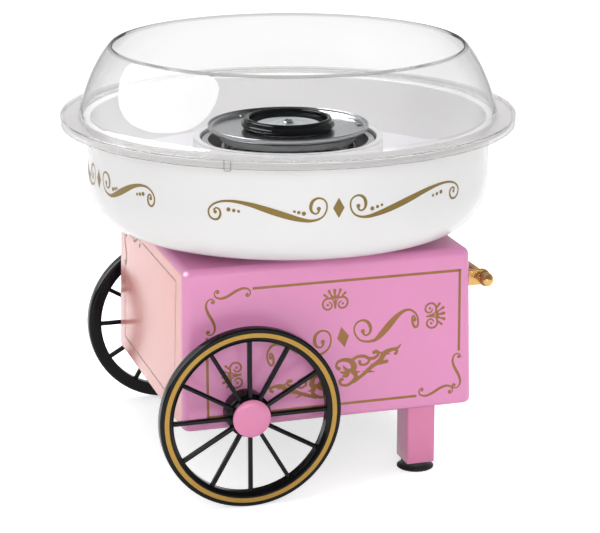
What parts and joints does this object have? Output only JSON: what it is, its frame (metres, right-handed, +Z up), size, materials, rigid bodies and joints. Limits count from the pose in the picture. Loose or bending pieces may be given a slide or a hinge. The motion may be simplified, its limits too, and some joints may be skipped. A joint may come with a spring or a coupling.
{
  "type": "cotton candy machine",
  "caption": "Tabletop electric cotton candy maker in the shape of a market cart: box housing on spoked wheels and legs, push handle, white bowl, clear rim guard and spinner head.",
  "frame": {"origin": "on the ground under the spindle, the middle of the overall box's bottom", "axes": "+Z up along the spindle, +X along the long side towards the push handle, -Y towards the near long side, whose wheel is the near wheel"},
  "size_m": [0.29, 0.29, 0.2664],
  "materials": {
    "pink_plastic": "glossy pink moulded plastic with printed ornament",
    "white_plastic": "glossy white moulded plastic with printed ornament on the bowl",
    "black_plastic": "glossy black moulded plastic",
    "clear_plastic": "clear polycarbonate",
    "antique_gold": "antique gold plated metal",
    "rubber": "matt black rubber",
    "steel": "plain zinc plated steel",
    "dark_steel": "heat-darkened steel",
    "aluminium": "spun aluminium",
    "ceramic": "unglazed insulating ceramic"
  },
  "bodies": {
    "cart": {"housing_shell": "pink_plastic", "bottom_cover": "black_plastic", "switch_body": "black_plastic", "cord_gland": "black_plastic", "axle": "steel", "near_push_nut": "steel", "far_push_nut": "steel", "near_leg": "pink_plastic", "near_foot": "rubber", "far_leg": "pink_plastic", "far_foot": "rubber", "near_handle_arm": "antique_gold", "far_handle_arm": "antique_gold", "near_handle_knob": "antique_gold", "far_handle_knob": "antique_gold", "handle_bar": "antique_gold", "tower": "white_plastic", "heat_dish": "dark_steel", "heater_ring": "dark_steel", "heater_post_1": "ceramic", "heater_post_2": "ceramic", "heater_post_3": "ceramic", "motor_bracket": "steel", "motor_can": "steel", "motor_end_cap": "steel", "motor_stator": "dark_steel"},
    "spindle": {"motor_rotor": "dark_steel", "motor_shaft": "steel"},
    "spinner_head": {"drive_hub": "steel", "head_pan": "aluminium", "head_disc": "aluminium", "head_cup_ring": "black_plastic", "head_screw": "steel"},
    "floss_bowl": {"bowl": "white_plastic", "bowl_column": "white_plastic"},
    "guard": {"rim_guard": "clear_plastic"},
    "near_road_wheel": {"near_wheel": "black_plastic", "near_hub_cap": "pink_plastic"},
    "far_road_wheel": {"far_wheel": "black_plastic", "far_hub_cap": "pink_plastic"},
    "power_rocker": {"switch_rocker": "black_plastic"}
  },
  "joints": [
    {"name": "spindle_spin", "type": "hinge", "parent": "cart", "child": "spindle", "pos_m": [0, 0, 0.15], "axis": [0, 0, 1], "continuous": true},
    {"name": "head_lift", "type": "slide", "parent": "spindle", "child": "spinner_head", "axis": [0, 0, 1], "range_m": [0, 0.05]},
    {"name": "bowl_lift", "type": "slide", "parent": "cart", "child": "floss_bowl", "axis": [0, 0, 1], "range_m": [0, 0.08]},
    {"name": "guard_lift", "type": "slide", "parent": "floss_bowl", "child": "guard", "axis": [0, 0, 1], "range_m": [0, 0.06]},
    {"name": "near_wheel_spin", "type": "hinge", "parent": "cart", "child": "near_road_wheel", "pos_m": [-0.056, -0.1, 0.057], "axis": [0, 1, 0], "continuous": true},
    {"name": "far_wheel_spin", "type": "hinge", "parent": "cart", "child": "far_road_wheel", "pos_m": [-0.056, 0.1, 0.057], "axis": [0, 1, 0], "continuous": true},
    {"name": "power_switch", "type": "hinge", "parent": "cart", "child": "power_rocker", "pos_m": [0.062, 0.09071, 0.092], "axis": [1, 0, 0], "range_deg": [0, 18]}
  ]
}
